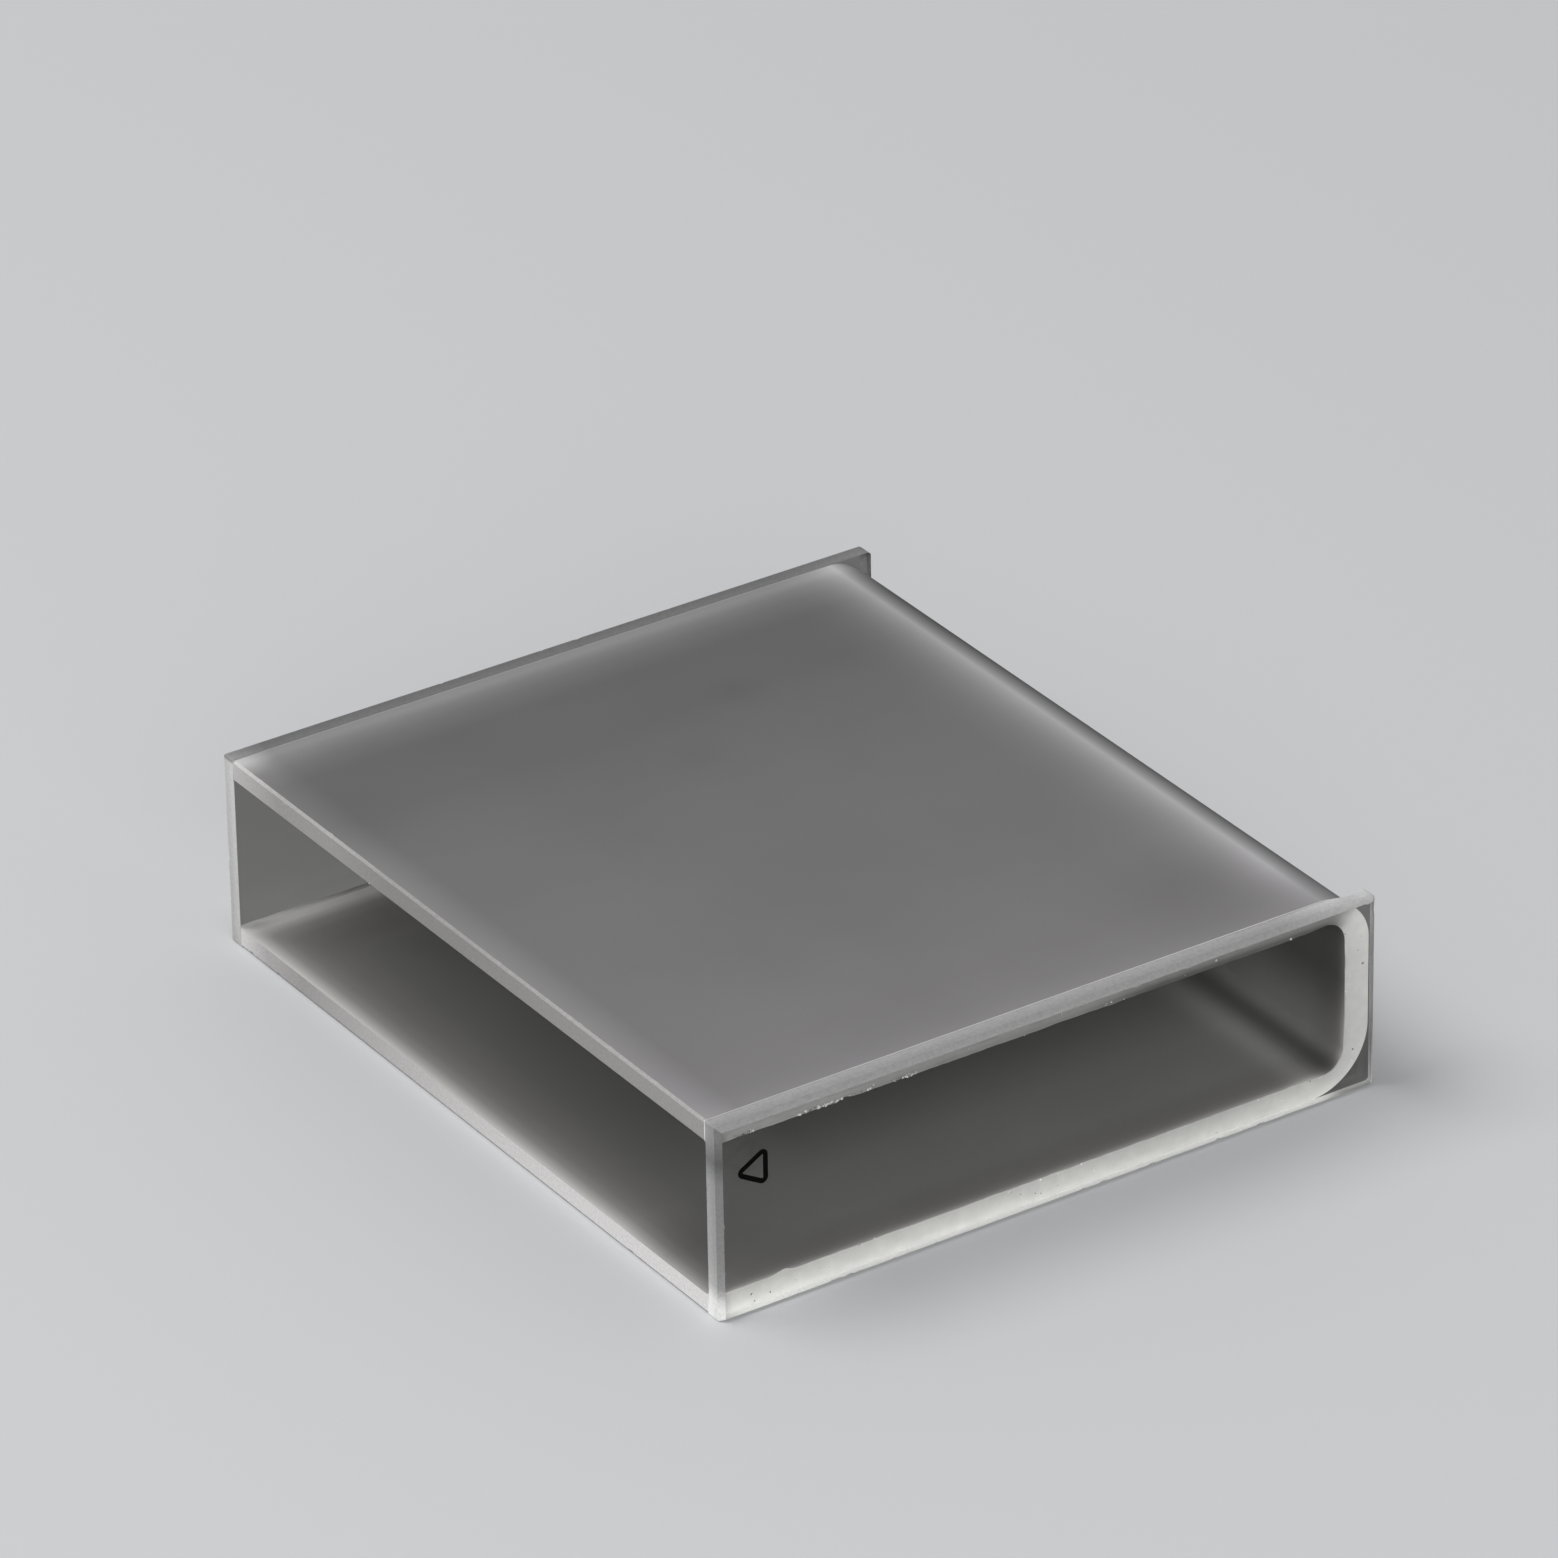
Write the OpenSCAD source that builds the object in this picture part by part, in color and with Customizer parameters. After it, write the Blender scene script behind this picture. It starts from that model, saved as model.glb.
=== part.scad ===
// Rectangular optical cell for a spectrophotometer, lying on one of its frosted sides.
// A frosted fused-quartz channel, bent to a U, is closed along both open flanks by polished
// windows, each fused on through a thin seam of sealing glass.
// X runs from the open mouth to the closed end, Y along the light path, Z across the narrow
// width. The origin is the middle of the footprint. Lengths are in millimetres.

/* [Cell] */
// Length from the mouth to the tips of the windows
cell_height = 45; // [25:0.5:70]
// Light path between the inner faces of the two windows
path_length = 50; // [10:1:100]
// Outside width across the two frosted sides
cell_width = 12.5; // [10.5:0.5:24]

/* [Walls] */
// Thickness of each polished window
window_thickness = 1.25; // [0.8:0.05:2.5]
// Thickness of the two frosted sides of the channel
side_wall = 1.25; // [1:0.05:2]
// Thickness of the closed end of the channel
end_wall = 1.6; // [1.2:0.05:3]

/* [Bends] */
// Outside radius of the lower bend at the closed end
lower_bend_radius = 4; // [2:0.1:4.5]
// Outside radius of the upper bend, which came out tighter
upper_bend_radius = 3; // [2:0.1:4.5]
// Inside radius of both bends
bend_inner_radius = 1.5; // [1:0.1:2]
// How far the windows reach past the closed end
window_reach = 0.1; // [0:0.05:1]

/* [Seams] */
// Thickness of each seam of sealing glass
seam_thickness = 0.1; // [0.05:0.01:0.3]
// How far the seam is squeezed out into the cavity
seam_bead = 0.12; // [0:0.01:0.3]

/* [Ground edges] */
// Bevel round the outer face of each window
window_bevel = 0.25; // [0.1:0.05:0.5]
// Cut across the two window corners at the closed end
window_corner = 0.3; // [0.1:0.05:0.8]
// Bevel on the outer rims of the channel's mouth
mouth_bevel = 0.15; // [0.05:0.05:0.5]

/* [Hidden] */
$fn = 96;
// How far the cavity's cut runs out past the mouth
overshoot = 1;

mouth_x = -cell_height / 2;
tip_x = cell_height / 2;
channel_end_x = tip_x - window_reach;
cavity_end_x = channel_end_x - end_wall;
outer_path = path_length + 2 * window_thickness;
channel_length = path_length - 2 * seam_thickness;

frosted_quartz = [0.62, 0.62, 0.63];
clear_quartz = [0.86, 0.89, 0.90, 0.35];
sealing_glass = [0.93, 0.93, 0.92];

// Flat outline from x = low to x = high and z = bottom to z = top, with both corners at
// the high end rounded, each with its own radius.
module round_ended(low, high, bottom, top, lower_radius, upper_radius) {
    translate([low, bottom])
        square([high - lower_radius - low, top - upper_radius - bottom]);
    translate([low, bottom + lower_radius])
        square([high - upper_radius - low, top - bottom - lower_radius]);
    translate([low, bottom + lower_radius])
        square([high - low, top - bottom - lower_radius - upper_radius]);
    translate([high - lower_radius, bottom + lower_radius]) circle(lower_radius);
    translate([high - upper_radius, top - upper_radius]) circle(upper_radius);
}

// The U of the channel's cross-section, in X and Z. Its cavity is narrowed all round by bead.
module channel_outline(bead = 0) {
    difference() {
        round_ended(mouth_x, channel_end_x, 0, cell_width, lower_bend_radius,
                    upper_bend_radius);
        round_ended(mouth_x - overshoot, cavity_end_x - bead, side_wall + bead,
                    cell_width - side_wall - bead, bend_inner_radius, bend_inner_radius);
        mouth_rim_cut();
        translate([0, cell_width]) mirror([0, 1]) mouth_rim_cut();
    }
}

// Triangle that bevels the lower outer rim of the mouth.
module mouth_rim_cut() {
    translate([mouth_x, 0])
        polygon([[0, 0], [mouth_bevel, 0], [0, mouth_bevel]]);
}

// Stands an X-Z outline up and gives it its depth from y = start towards +Y.
module along_y(start, depth) {
    translate([0, start + depth, 0]) rotate([90, 0, 0]) linear_extrude(depth) children();
}

module channel() {
    color(frosted_quartz)
        along_y(-channel_length / 2, channel_length) channel_outline();
}

// A window seen from outside: a rectangle whose two corners at the closed end are cut.
module window_outline() {
    polygon([
        [mouth_x, 0],
        [tip_x - window_corner, 0],
        [tip_x, window_corner],
        [tip_x, cell_width - window_corner],
        [tip_x - window_corner, cell_width],
        [mouth_x, cell_width]
    ]);
}

// Section across a window: its two outer corners bevelled, its outer face at depth 0.
// Each point is [place along the window, depth].
function bevelled_section(low, high) = [
    [low, window_bevel],
    [low + window_bevel, 0],
    [high - window_bevel, 0],
    [high, window_bevel],
    [high, window_thickness],
    [low, window_thickness]
];

// The window at the -Y end of the light path, its outer face towards -Y.
module window() {
    translate([0, -outer_path / 2, 0])
        intersection() {
            along_y(0, window_thickness) window_outline();
            linear_extrude(cell_width)
                polygon(bevelled_section(mouth_x, tip_x));
            translate([mouth_x, 0, 0]) rotate([90, 0, 90]) linear_extrude(cell_height)
                polygon([for (point = bevelled_section(0, cell_width)) [point.y, point.x]]);
        }
}

module front_window() {
    color(clear_quartz) window();
}

module rear_window() {
    color(clear_quartz) mirror([0, 1, 0]) window();
}

// The seam between the front window and the channel.
module seam() {
    along_y(-path_length / 2, seam_thickness) channel_outline(seam_bead);
}

module front_seam() {
    color(sealing_glass) seam();
}

module rear_seam() {
    color(sealing_glass) mirror([0, 1, 0]) seam();
}

channel();
front_window();
rear_window();
front_seam();
rear_seam();
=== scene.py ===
import math

import bmesh
import bpy
from mathutils import Matrix, Vector


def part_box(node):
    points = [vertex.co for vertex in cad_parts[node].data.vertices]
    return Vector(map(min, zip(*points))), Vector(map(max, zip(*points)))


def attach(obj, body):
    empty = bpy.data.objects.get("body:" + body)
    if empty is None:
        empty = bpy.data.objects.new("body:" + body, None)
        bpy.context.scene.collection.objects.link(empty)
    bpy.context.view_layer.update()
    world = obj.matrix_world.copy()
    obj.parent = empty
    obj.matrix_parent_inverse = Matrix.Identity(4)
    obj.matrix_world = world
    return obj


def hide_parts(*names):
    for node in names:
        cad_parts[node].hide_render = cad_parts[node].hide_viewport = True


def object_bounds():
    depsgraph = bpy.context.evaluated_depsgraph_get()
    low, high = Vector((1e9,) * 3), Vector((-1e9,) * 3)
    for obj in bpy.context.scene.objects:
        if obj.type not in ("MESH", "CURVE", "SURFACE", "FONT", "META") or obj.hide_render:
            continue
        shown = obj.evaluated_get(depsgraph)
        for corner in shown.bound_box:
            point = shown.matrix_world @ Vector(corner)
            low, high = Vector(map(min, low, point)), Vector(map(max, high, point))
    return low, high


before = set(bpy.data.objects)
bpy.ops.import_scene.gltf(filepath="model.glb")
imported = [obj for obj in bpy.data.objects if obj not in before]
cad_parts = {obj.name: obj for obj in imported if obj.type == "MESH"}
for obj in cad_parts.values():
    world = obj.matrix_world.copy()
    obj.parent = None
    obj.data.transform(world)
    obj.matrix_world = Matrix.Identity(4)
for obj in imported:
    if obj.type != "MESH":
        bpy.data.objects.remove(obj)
cad_low, cad_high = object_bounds()
MM = 0.001

# ---------------------------------------------------------------------------------------
# Channel
# One strip of fused quartz bent hot to a U: two flat sides and the closed end. Its outside
# is ground matte, its inside keeps the dull skin that the drawing and bending left, and its
# mouth is sawn and ground flat, with fine chips along the outer rims.
# ---------------------------------------------------------------------------------------
SIDE_WALL = 1.25 * MM
END_WALL = 1.6 * MM
BENDS_OUTSIDE = (4.0 * MM, 3.0 * MM)  # of the lower bend, and of the upper, which came out tighter
BENDS_INSIDE = (1.5 * MM, 1.5 * MM)
MOUTH_BEVEL = 0.15 * MM
RIM_CUTS = 220              # points along a rim of the mouth, where it can chip
CHANNEL_STEPS = (100, 20, 10)  # points on a long side, on a bend and on the closed end
SHARP_EDGE = math.radians(30)
FUSED_IOR = 1.458           # refractive index of fused quartz
LIGHT_THROUGH = 0.55        # share of the lamps' light that passes each matte face
NOISE_SPAN = (0.3, 0.7)     # a noise seldom leaves it
channel_low, channel_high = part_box("channel")


def linear(hex_colour):
    """A colour written as sRGB hex, as the linear numbers that a shader takes."""
    parts = [int(hex_colour[i:i + 2], 16) / 255 for i in (1, 3, 5)]
    parts = [part / 12.92 if part <= 0.04045 else ((part + 0.055) / 1.055) ** 2.4 for part in parts]
    return (*parts, 1.0)


def add_node(tree, kind, links=None, inputs=None, **settings):
    """Adds a node with its settings, input values and links. Inputs go by name or number."""
    node = tree.nodes.new(kind)
    for name, value in settings.items():
        setattr(node, name, value)
    for key, value in (inputs or {}).items():
        node.inputs[key].default_value = value
    for key, socket in (links or {}).items():
        tree.links.new(socket, node.inputs[key])
    return node


def new_material(name):
    """An empty material: its tree, the socket of its surface and the Object coordinates."""
    material = bpy.data.materials.new(name)
    material.use_nodes = True
    tree = material.node_tree
    tree.nodes.clear()
    output = add_node(tree, "ShaderNodeOutputMaterial")
    place = add_node(tree, "ShaderNodeTexCoord").outputs["Object"]
    return material, tree, output.inputs["Surface"], place


def colours_along(tree, value, stops):
    """The colour at each value, from stops (value, sRGB hex), lowest first."""
    low, high = stops[0][0], stops[-1][0]
    share = add_node(tree, "ShaderNodeMapRange", {0: value}, {1: low, 2: high}).outputs[0]
    ramp = add_node(tree, "ShaderNodeValToRGB", {0: share})
    band = ramp.color_ramp
    band.elements[0].color = linear(stops[0][1])
    band.elements[1].color = linear(stops[-1][1])
    for stop, colour in stops[1:-1]:
        band.elements.new((stop - low) / (high - low)).color = linear(colour)
    return ramp.outputs[0]


def u_outline(mouth, end, bottom, top, radii, steps):
    """Points (x, z) of a U from its lower mouth corner, round the closed end, to its upper.
    radii are those of the lower bend and the upper one, and steps the numbers of points on
    a long side, on a bend and on the closed end."""
    lower, upper = radii
    sides, bends, ends = steps
    points = [(mouth + (end - lower - mouth) * i / sides, bottom) for i in range(sides)]
    for i in range(bends):
        angle = math.pi / 2 * (i / bends - 1)
        points.append((end - lower + lower * math.cos(angle), bottom + lower + lower * math.sin(angle)))
    points += [(end, bottom + lower + (top - bottom - lower - upper) * i / ends) for i in range(ends)]
    for i in range(bends):
        angle = math.pi / 2 * i / bends
        points.append((end - upper + upper * math.cos(angle), top - upper + upper * math.sin(angle)))
    points += [(end - upper + (mouth - end + upper) * i / sides, top) for i in range(sides + 1)]
    return points


def finish_mesh(bm, name, materials):
    """Makes an object of a bmesh, with its faces outwards, and smooth but for sharp edges."""
    bmesh.ops.recalc_face_normals(bm, faces=bm.faces)
    for face in bm.faces:
        face.smooth = True
    for edge in bm.edges:
        edge.smooth = len(edge.link_faces) == 2 and edge.calc_face_angle() < SHARP_EDGE
    mesh = bpy.data.meshes.new(name)
    bm.to_mesh(mesh)
    bm.free()
    piece = bpy.data.objects.new(name, mesh)
    bpy.context.scene.collection.objects.link(piece)
    for material in materials:
        mesh.materials.append(material)
    return piece


def bump_at(distance, reach):
    """1 at no distance, fading to 0 over about twice the reach."""
    return math.exp(-(distance / reach) ** 2)


def painted_light_of_wall(x, z, inside):
    """The painted light and shade of the wall at a point of the U's outline: how much lighter or darker it
    is painted.
    A painted glow stands for light that gathers on the outside where a bend starts, and fades round it,
    with a band of painted shade past it. On the inside the bends carry painted shade, with a strip of
    painted light beside each."""
    upper = z > cad_high.z / 2
    side = 1 if upper else -1
    radius = (BENDS_INSIDE if inside else BENDS_OUTSIDE)[upper]
    wall_z, wall_x = (SIDE_WALL, END_WALL) if inside else (0, 0)
    flat_z = channel_high.z - wall_z if upper else channel_low.z + wall_z
    centre_x = channel_high.x - wall_x - radius
    centre_z = flat_z - side * radius
    if inside:
        darkest = math.radians(60)
        on_bend = (centre_x + radius * math.cos(darkest), centre_z + side * radius * math.sin(darkest))
        on_side = (centre_x - 1.1 * MM, flat_z)
        on_end = (centre_x + radius, centre_z - side * 0.8 * MM)
        strips = ((on_side, 1.0 * MM, 0.5), (on_end, 1.6 * MM, 0.2), (on_bend, 0.8 * MM, -0.75))
        return sum(tone * bump_at(math.dist((x, z), middle), reach) for middle, reach, tone in strips)
    glow = 1.75
    if x < centre_x:
        return glow * math.exp((x - centre_x) / (1.4 * MM))
    along = radius * math.atan2(x - centre_x, side * (z - centre_z))
    shade = 0.5 * bump_at(along - 2.1 * MM, 1.1 * MM)
    return glow * math.exp(-along / (0.75 * MM)) - shade


def channel_mesh(name, materials):
    """The two outlines of the U, drawn out from flank to flank and joined at both flanks and
    at the mouth, whose outer rims are bevelled and have the points to be chipped."""
    outside, inside = 0, 1      # the two sides of the wall, and the numbers of their materials
    mouth, top, bottom = channel_low.x, channel_high.z, channel_low.z
    start = mouth + MOUTH_BEVEL
    outline = u_outline(start, channel_high.x, bottom, top, BENDS_OUTSIDE, CHANNEL_STEPS)
    outline = [(mouth, bottom + MOUTH_BEVEL)] + outline + [(mouth, top - MOUTH_BEVEL)]
    inner = u_outline(start, channel_high.x - END_WALL, bottom + SIDE_WALL, top - SIDE_WALL,
                      BENDS_INSIDE, CHANNEL_STEPS)
    inner = [(mouth, bottom + SIDE_WALL)] + inner + [(mouth, top - SIDE_WALL)]
    last = len(outline) - 1
    bm = bmesh.new()
    tone = bm.verts.layers.float.new("tone")
    wear = bm.verts.layers.float_vector.new("wear")
    ground = bm.faces.layers.float.new("ground_edge")

    def row(point, wall_side, cuts, way=(0, 0, 0)):
        """Points from flank to flank at a point of the outline. way is how they wear."""
        verts = []
        for k in range(cuts + 1):
            y = channel_low.y + (channel_high.y - channel_low.y) * k / cuts
            vert = bm.verts.new((point[0], y, point[1]))
            # tone holds the wall's painted light and shade
            vert[tone] = painted_light_of_wall(*point, wall_side == inside)
            vert[wear] = way
            verts.append(vert)
        return verts

    def skin(a, b, wall_side, is_ground=False):
        """Faces between two rows, or one face where they have different numbers of points."""
        if len(a) == len(b):
            faces = [bm.faces.new((a[k], a[k + 1], b[k + 1], b[k])) for k in range(len(a) - 1)]
        else:
            faces = [bm.faces.new(a + b[::-1])]
        for face in faces:
            face.material_index = wall_side
            face[ground] = float(is_ground)

    # how the rims of the two bevels at the mouth wear
    ways = {0: (0, 0, 1), 1: (1, 0, 0), last - 1: (1, 0, 0), last: (0, 0, -1)}
    out_rows = [row(point, outside, RIM_CUTS if i in ways else 1, ways.get(i, (0, 0, 0)))
                for i, point in enumerate(outline)]
    in_rows = [row(point, inside, RIM_CUTS if i in (0, last) else 1) for i, point in enumerate(inner)]
    for i in range(last):
        skin(out_rows[i], out_rows[i + 1], outside, i in (0, last - 1))
        skin(in_rows[i], in_rows[i + 1], inside)
        for flank in (0, -1):
            skin([out_rows[i][flank], out_rows[i + 1][flank]],
                 [in_rows[i][flank], in_rows[i + 1][flank]], outside, True)
    for i in (0, last):
        skin(out_rows[i], in_rows[i], outside, True)
    return finish_mesh(bm, name, materials)


def new_shape_tree(name, *sockets):
    """An empty Geometry Nodes tree: its named inputs and the socket of its result."""
    tree = bpy.data.node_groups.new(name, "GeometryNodeTree")
    for label, kind in (("Mesh", "Geometry"),) + sockets:
        tree.interface.new_socket(label, in_out="INPUT", socket_type="NodeSocket" + kind)
    tree.interface.new_socket("Mesh", in_out="OUTPUT", socket_type="NodeSocketGeometry")
    given = add_node(tree, "NodeGroupInput").outputs
    result = add_node(tree, "NodeGroupOutput").inputs[0]
    return tree, given, result


def chipped_edges_tree():
    """Bites small chips out of an edge. Each point of the edge moves along its own vector
    wear, where a noise rises past the share of the edge that stays whole."""
    tree, given, result = new_shape_tree(
        "chipped_edges", ("Chip Depth", "Float"), ("Chip Length", "Float"), ("Whole Share", "Float"),
        ("Seed", "Float"), ("Ground Glass", "Material"))
    position = add_node(tree, "GeometryNodeInputPosition").outputs[0]
    wear = add_node(tree, "GeometryNodeInputNamedAttribute", inputs={0: "wear"},
                    data_type="FLOAT_VECTOR").outputs[0]
    ground = add_node(tree, "GeometryNodeInputNamedAttribute", inputs={0: "ground_edge"},
                      data_type="FLOAT").outputs[0]
    per_metre = add_node(tree, "ShaderNodeMath", {1: given["Chip Length"]}, {0: 1.0},
                         operation="DIVIDE").outputs[0]
    rough = add_node(tree, "ShaderNodeTexNoise",
                     {"Vector": position, "W": given["Seed"], "Scale": per_metre},
                     {"Detail": 2.0, "Roughness": 0.6}, noise_dimensions="4D").outputs[0]
    # the noise has to rise 0.12 further for a chip of full depth
    full_bite = add_node(tree, "ShaderNodeMath", {0: given["Whole Share"]}, {1: 0.12},
                         operation="ADD").outputs[0]
    bite = add_node(tree, "ShaderNodeMapRange", {0: rough, 1: given["Whole Share"], 2: full_bite},
                    interpolation_type="SMOOTHSTEP").outputs[0]
    depth = add_node(tree, "ShaderNodeMath", {0: bite, 1: given["Chip Depth"]},
                     operation="MULTIPLY").outputs[0]
    shift = add_node(tree, "ShaderNodeVectorMath", {0: wear, 3: depth}, operation="SCALE").outputs[0]
    bitten = add_node(tree, "GeometryNodeSetPosition",
                      {"Geometry": given["Mesh"], "Offset": shift}).outputs[0]
    real = add_node(tree, "GeometryNodeRealizeInstances", {0: bitten}).outputs[0]
    dressed = add_node(tree, "GeometryNodeSetMaterial",
                       {"Geometry": real, "Selection": ground, "Material": given["Ground Glass"]})
    tree.links.new(dressed.outputs[0], result)
    return tree


def run_tree(piece, tree, **values):
    """Runs a tree on a piece with its inputs named as values are, and keeps a plain mesh."""
    modifier = piece.modifiers.new(tree.name, "NODES")
    modifier.node_group = tree
    for socket in tree.interface.items_tree:
        key = socket.name.lower().replace(" ", "_")
        if socket.in_out == "INPUT" and key in values:
            modifier[socket.identifier] = values[key]
    graph = bpy.context.evaluated_depsgraph_get()
    mesh = bpy.data.meshes.new_from_object(piece.evaluated_get(graph), preserve_all_data_layers=True,
                                           depsgraph=graph)
    piece.modifiers.remove(modifier)
    piece.data = mesh


def share_of(tree, ramps, **settings):
    """The product of ramps (value, start, end). Each goes from 0 to 1 while its value goes
    from start to end, which may be the lower of the two."""
    share, *others = [
        add_node(tree, "ShaderNodeMapRange", {0: value}, {1: start, 2: end}, **settings).outputs[0]
        for value, start, end in ramps]
    for other in others:
        share = add_node(tree, "ShaderNodeMath", {0: share, 1: other}, operation="MULTIPLY").outputs[0]
    return share


def graded(tree, colour, grades, **settings):
    """The colour times a factor for each grade (at_none, at_all, ramp, ...), which goes from
    at_none to at_all with the share that the grade's ramps give."""
    for at_none, at_all, *ramps in grades:
        factor = add_node(tree, "ShaderNodeMath", {0: share_of(tree, ramps, **settings)},
                          {1: at_all - at_none, 2: at_none}, operation="MULTIPLY_ADD").outputs[0]
        colour = add_node(tree, "ShaderNodeVectorMath", {0: colour, 3: factor},
                          operation="SCALE").outputs[0]
    return colour


def lit_through(tree, shader, share):
    """The surface, but a share of the lamp light that meets it shines on through."""
    to_lamp = add_node(tree, "ShaderNodeLightPath").outputs["Is Shadow Ray"]
    passed = add_node(tree, "ShaderNodeMath", {0: to_lamp}, {1: share}, operation="MULTIPLY").outputs[0]
    clear = add_node(tree, "ShaderNodeBsdfTransparent").outputs[0]
    return add_node(tree, "ShaderNodeMixShader", {0: passed, 1: shader, 2: clear}).outputs[0]


def wall_tones(tree, place):
    """What the outside and the inside of the channel share: the painted light and shade of the bends, and
    the grade of a slow clouding of the glass."""
    tone = add_node(tree, "ShaderNodeAttribute", attribute_name="tone").outputs["Fac"]
    clouds = add_node(tree, "ShaderNodeTexNoise", {"Vector": place},
                      {"Scale": 1 / (11 * MM), "Detail": 3.0, "Roughness": 0.5}).outputs["Fac"]
    return tone, (0.96, 1.04, (clouds, *NOISE_SPAN))


def ground_quartz():
    """Fused quartz ground with loose grit: matte, milky grey, with a few faint smudges. A painted glow
    along the seams and the mouth stands for light that runs in the glass and comes out there. The stops
    give the colour across the face, from the front seam to the rear one, and paint that glow, with painted
    shade towards the rear."""
    # place (x, y) and reach in millimetres, and the factor. The last is a painted glow at a corner, where
    # light gathers
    smudges = ((6.1, 15.2, 2.6, 0.91), (-0.1, 10.0, 2.2, 0.94), (13.5, -19.0, 7.0, 0.88),
               (-22.2, 24.6, 2.3, 1.6))
    material, tree, surface, place = new_material("ground_quartz")
    where = add_node(tree, "ShaderNodeSeparateXYZ", {0: place}).outputs
    colour = colours_along(tree, where["Y"], [
        (-24.9 * MM, "#979597"), (-24.2 * MM, "#929092"), (-23 * MM, "#8C8A8C"), (-20 * MM, "#878587"),
        (-10 * MM, "#828182"), (0, "#7F7E7F"), (6 * MM, "#7D7C7D"), (10 * MM, "#797879"),
        (15 * MM, "#717071"), (20.5 * MM, "#706F70"), (22.5 * MM, "#7E7D7E"), (23.5 * MM, "#8B8A8B"),
        (24.3 * MM, "#9C9B9C"), (24.9 * MM, "#9B9A9B")])
    tone, clouds = wall_tones(tree, place)
    # beside the front seam, already bright with painted glow, the bends add less painted light
    added = add_node(tree, "ShaderNodeMapRange", {0: where["Y"]},
                     {1: -25 * MM, 2: -20 * MM, 3: 0.4, 4: 1.0}).outputs[0]
    tone = add_node(tree, "ShaderNodeMath", {0: tone, 1: added}, operation="MULTIPLY").outputs[0]
    colour = add_node(tree, "ShaderNodeVectorMath", {0: tone, 2: colour}, {1: linear("#807F80")[:3]},
                      operation="MULTIPLY_ADD").outputs[0]
    # the clouding, then a painted glow by the mouth and slight painted shade towards the closed end
    colour = graded(tree, colour, [
        clouds,
        (1, 1.45, (where["X"], channel_low.x + 2.4 * MM, channel_low.x)),
        (1, 0.96, (where["X"], -14 * MM, 11 * MM))])
    for x, y, reach, factor in smudges:
        away = add_node(tree, "ShaderNodeVectorMath", {0: place}, {1: (x * MM, y * MM, channel_high.z)},
                        operation="DISTANCE").outputs["Value"]
        colour = graded(tree, colour, [(1, factor, (away, reach * MM, 0))],
                        interpolation_type="SMOOTHSTEP")
    # 0.05 mm grit leaves pits too fine to show, so they are drawn 0.15 mm wide
    pits = add_node(tree, "ShaderNodeTexNoise", {"Vector": place},
                    {"Scale": 1 / (0.15 * MM), "Detail": 2.0}).outputs["Fac"]
    bump = add_node(tree, "ShaderNodeBump", {"Height": pits},
                    {"Strength": 0.4, "Distance": 0.02 * MM}).outputs[0]
    shader = add_node(tree, "ShaderNodeBsdfPrincipled", {"Base Color": colour, "Normal": bump},
                      {"Roughness": 0.6, "IOR": FUSED_IOR, "Transmission Weight": 0.4})
    tree.links.new(lit_through(tree, shader.outputs[0], LIGHT_THROUGH), surface)
    return material


def drawn_quartz():
    """Fused quartz with the skin it got in the furnace: smoother than the outside and dull.
    A painted glow lies beside the seams and the mouth. The stops give the colour by distance to the
    mouth, and by a distance to the seams that is stretched so that the front seam's painted glow
    reaches less far and the rear one's farther."""
    furthest = 8.0 * MM
    material, tree, surface, place = new_material("drawn_quartz")
    where = add_node(tree, "ShaderNodeSeparateXYZ", {0: place}).outputs
    from_front = add_node(tree, "ShaderNodeMapRange", {0: where["Y"]},
                          {1: channel_low.y, 2: channel_low.y + 3.4 * MM, 3: 0, 4: furthest}).outputs[0]
    from_rear = add_node(tree, "ShaderNodeMapRange", {0: where["Y"]},
                         {1: channel_high.y - 11.5 * MM, 2: channel_high.y - 0.8 * MM,
                          3: furthest, 4: 0.28 * MM}).outputs[0]
    from_seam = add_node(tree, "ShaderNodeMath", {0: from_front, 1: from_rear},
                         operation="MINIMUM").outputs[0]
    from_mouth = add_node(tree, "ShaderNodeMath", {0: where["X"]}, {1: channel_low.x},
                          operation="SUBTRACT").outputs[0]
    nearest = add_node(tree, "ShaderNodeMath", {0: from_seam, 1: from_mouth}, {2: 0.8 * MM},
                       operation="SMOOTH_MIN").outputs[0]
    colour = colours_along(tree, nearest, [
        (0, "#BEBCBA"), (0.4 * MM, "#A2A09E"), (0.95 * MM, "#807E7D"), (1.7 * MM, "#6C6B69"),
        (2.8 * MM, "#646361"), (5.0 * MM, "#626260"), (furthest, "#686866")])
    tone, clouds = wall_tones(tree, place)
    # the painted light and shade of the bends, and then painted shade up the closed end, in the middle,
    # along the rear seam away from the mouth, and in the corner of the mouth and the front seam
    colour = graded(tree, colour, [
        clouds,
        (0, 2, (tone, -1, 1)),
        (1, 0.3, (where["Z"], 2 * MM, 7 * MM), (where["X"], 14 * MM, 18 * MM)),
        (1, 0.5, (where["Y"], -17 * MM, -10.5 * MM), (where["X"], -13 * MM, -9 * MM)),
        (1, 0.55, (where["X"], -20.5 * MM, -14.5 * MM), (where["Y"], 19 * MM, 23 * MM)),
        (1, 0.73, (where["X"], -12 * MM, -20 * MM), (where["Y"], -16 * MM, -20 * MM))])
    shader = add_node(tree, "ShaderNodeBsdfPrincipled", {"Base Color": colour},
                      {"Roughness": 0.6, "IOR": FUSED_IOR, "Specular IOR Level": 0.2})
    tree.links.new(lit_through(tree, shader.outputs[0], LIGHT_THROUGH), surface)
    return material


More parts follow.
